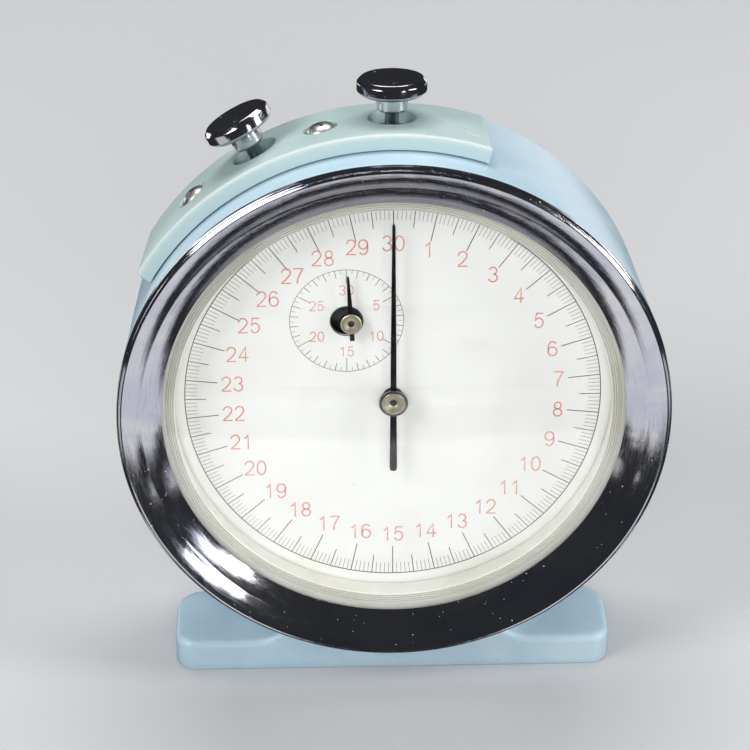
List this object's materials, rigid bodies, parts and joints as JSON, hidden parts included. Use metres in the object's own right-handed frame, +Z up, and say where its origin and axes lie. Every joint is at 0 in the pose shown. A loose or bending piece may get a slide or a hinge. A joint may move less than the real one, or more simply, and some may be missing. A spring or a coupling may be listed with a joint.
{
  "type": "mechanical desk stop clock",
  "caption": "Wind-up desk stop clock: leaning blue drum case on a moulded foot, chrome bezel, seconds dial with a minutes sub-dial, and push buttons on a curved strip on top.",
  "frame": {"origin": "on the underside of the foot, straight below the centre of the dial", "axes": "+Z up, the dial faces -Y and leans back 4 degrees, +X to the right as one reads the dial"},
  "size_m": [0.1178, 0.055, 0.1367],
  "materials": {
    "case_plastic": "pale sky blue moulded plastic, satin",
    "strip_plastic": "pale grey-green plastic, worn pale along its front edge",
    "chrome": "mirror chrome plate with fine scratches",
    "crystal": "clear, slightly domed",
    "cream_ring": "cream white, fine turned lines",
    "white_dial": "white enamel paint with printed ticks and red numbers",
    "dark_hands": "blue-black steel",
    "blued_steel": "blued spring steel",
    "brass": "brushed brass",
    "steel": "ground steel",
    "key_metal": "nickel-plated key"
  },
  "bodies": {
    "case": {"case_body": "case_plastic", "rear_cover": "case_plastic", "rear_cover_screw_1": "steel", "rear_cover_screw_2": "steel", "rear_cover_screw_3": "steel", "bezel_ring": "chrome", "crystal": "crystal", "dial_spacer_ring": "cream_ring", "dial_plate": "white_dial", "dial_foot_1": "brass", "dial_foot_2": "brass", "button_strip": "strip_plastic", "strip_screw_1": "chrome", "strip_screw_2": "chrome", "start_spring_cup": "brass", "reset_spring_cup": "brass", "start_button_spring": "steel", "reset_button_spring": "steel", "front_plate": "brass", "rear_plate": "brass", "plate_pillar_1": "brass", "plate_pillar_2": "brass", "plate_pillar_3": "brass", "plate_pillar_4": "brass", "click_stud": "steel", "click_spring": "blued_steel", "hammer_stud": "steel", "brake_stud": "steel", "hairspring": "blued_steel"},
    "start_pusher": {"start_button": "chrome"},
    "reset_pusher": {"reset_button": "chrome"},
    "brake": {"brake_lever": "steel"},
    "hammer": {"reset_hammer": "steel"},
    "seconds": {"seconds_hand": "dark_hands", "seconds_collet": "brass", "seconds_arbor": "steel", "seconds_wheel": "brass", "seconds_heart": "steel"},
    "minutes": {"minutes_hand": "dark_hands", "minutes_collet": "brass", "minutes_arbor": "steel", "minutes_wheel": "brass", "minutes_heart": "steel"},
    "counter": {"counter_arbor": "steel", "counter_wheel": "brass"},
    "third": {"third_arbor": "steel", "third_wheel": "brass"},
    "barrel": {"barrel_wheel": "brass", "barrel_drum": "brass", "mainspring": "blued_steel"},
    "escape": {"escape_arbor": "steel", "escape_wheel": "brass"},
    "pallet": {"pallet_arbor": "steel", "pallet_fork": "steel"},
    "balance": {"balance_staff": "steel", "balance_wheel": "brass"},
    "winding": {"winding_arbor": "steel", "ratchet_wheel": "steel", "winding_key": "key_metal"},
    "click_lever": {"click": "steel"}
  },
  "joints": [
    {"name": "start_press", "type": "slide", "parent": "case", "child": "start_pusher", "axis": [0, -0.165, -0.9863], "range_m": [0, 0.003], "stiffness_N_per_m": 600, "springref_m": -0.002, "deforming": ["start_button_spring"]},
    {"name": "reset_press", "type": "slide", "parent": "case", "child": "reset_pusher", "axis": [0.4719, -0.1567, -0.8676], "range_m": [0, 0.003], "stiffness_N_per_m": 600, "springref_m": -0.002, "deforming": ["reset_button_spring"]},
    {"name": "brake_turn", "type": "hinge", "parent": "case", "child": "brake", "pos_m": [-0.031, 0.00112, 0.08306], "axis": [0, 0.9976, -0.0698], "range_deg": [0, 5.6]},
    {"name": "hammer_turn", "type": "hinge", "parent": "case", "child": "hammer", "pos_m": [-0.027, 0.00098, 0.08107], "axis": [0, 0.9976, -0.0698], "range_deg": [0, 6.4]},
    {"name": "seconds_turn", "type": "hinge", "parent": "case", "child": "seconds", "pos_m": [0, 0, 0.0671], "axis": [0, 0.9976, -0.0698], "continuous": true},
    {"name": "minutes_turn", "type": "hinge", "parent": "case", "child": "minutes", "pos_m": [-0.00895, 0.0013, 0.08565], "axis": [0, 0.9976, -0.0698], "continuous": true},
    {"name": "counter_turn", "type": "hinge", "parent": "case", "child": "counter", "pos_m": [0.00171, 0.00082, 0.07884], "axis": [0, 0.9976, -0.0698], "continuous": true},
    {"name": "third_turn", "type": "hinge", "parent": "case", "child": "third", "pos_m": [0.01046, -0.00061, 0.05835], "axis": [0, 0.9976, -0.0698], "continuous": true},
    {"name": "barrel_turn", "type": "hinge", "parent": "case", "child": "barrel", "pos_m": [0.02262, -0.00121, 0.04985], "axis": [0, 0.9976, -0.0698], "continuous": true},
    {"name": "escape_turn", "type": "hinge", "parent": "case", "child": "escape", "pos_m": [-0.01085, -0.00028, 0.06316], "axis": [0, 0.9976, -0.0698], "continuous": true},
    {"name": "balance_swing", "type": "hinge", "parent": "case", "child": "balance", "pos_m": [-0.02086, -0.0013, 0.04856], "axis": [0, 0.9976, -0.0698], "range_deg": [-150, 150], "stiffness_Nm_per_rad": 0.00008},
    {"name": "pallet_swing", "type": "hinge", "parent": "case", "child": "pallet", "pos_m": [-0.01586, -0.00069, 0.05719], "axis": [0, 0.9976, -0.0698], "range_deg": [-6.1, 6.1]},
    {"name": "winding_turn", "type": "hinge", "parent": "case", "child": "winding", "pos_m": [0.02262, -0.00121, 0.04985], "axis": [0, 0.9976, -0.0698], "continuous": true},
    {"name": "click_lift", "type": "hinge", "parent": "case", "child": "click_lever", "pos_m": [0.0082, -0.00193, 0.03957], "axis": [0, -0.9976, 0.0698], "range_deg": [0, 6], "stiffness_Nm_per_rad": 0.002, "springref_deg": -2.86}
  ],
  "couplings": [
    {"joint": "brake_turn", "follows": "start_press", "rad_per_m": 31.823},
    {"joint": "hammer_turn", "follows": "reset_press", "rad_per_m": 36.652},
    {"joint": "minutes_turn", "follows": "seconds_turn", "ratio": 0.016667},
    {"joint": "counter_turn", "follows": "seconds_turn", "ratio": -0.13333},
    {"joint": "third_turn", "follows": "seconds_turn", "ratio": -0.083333},
    {"joint": "barrel_turn", "follows": "seconds_turn", "ratio": 0.0083333},
    {"joint": "escape_turn", "follows": "seconds_turn", "ratio": -10},
    {"joint": "pallet_swing", "follows": "balance_swing", "ratio": -0.04}
  ]
}
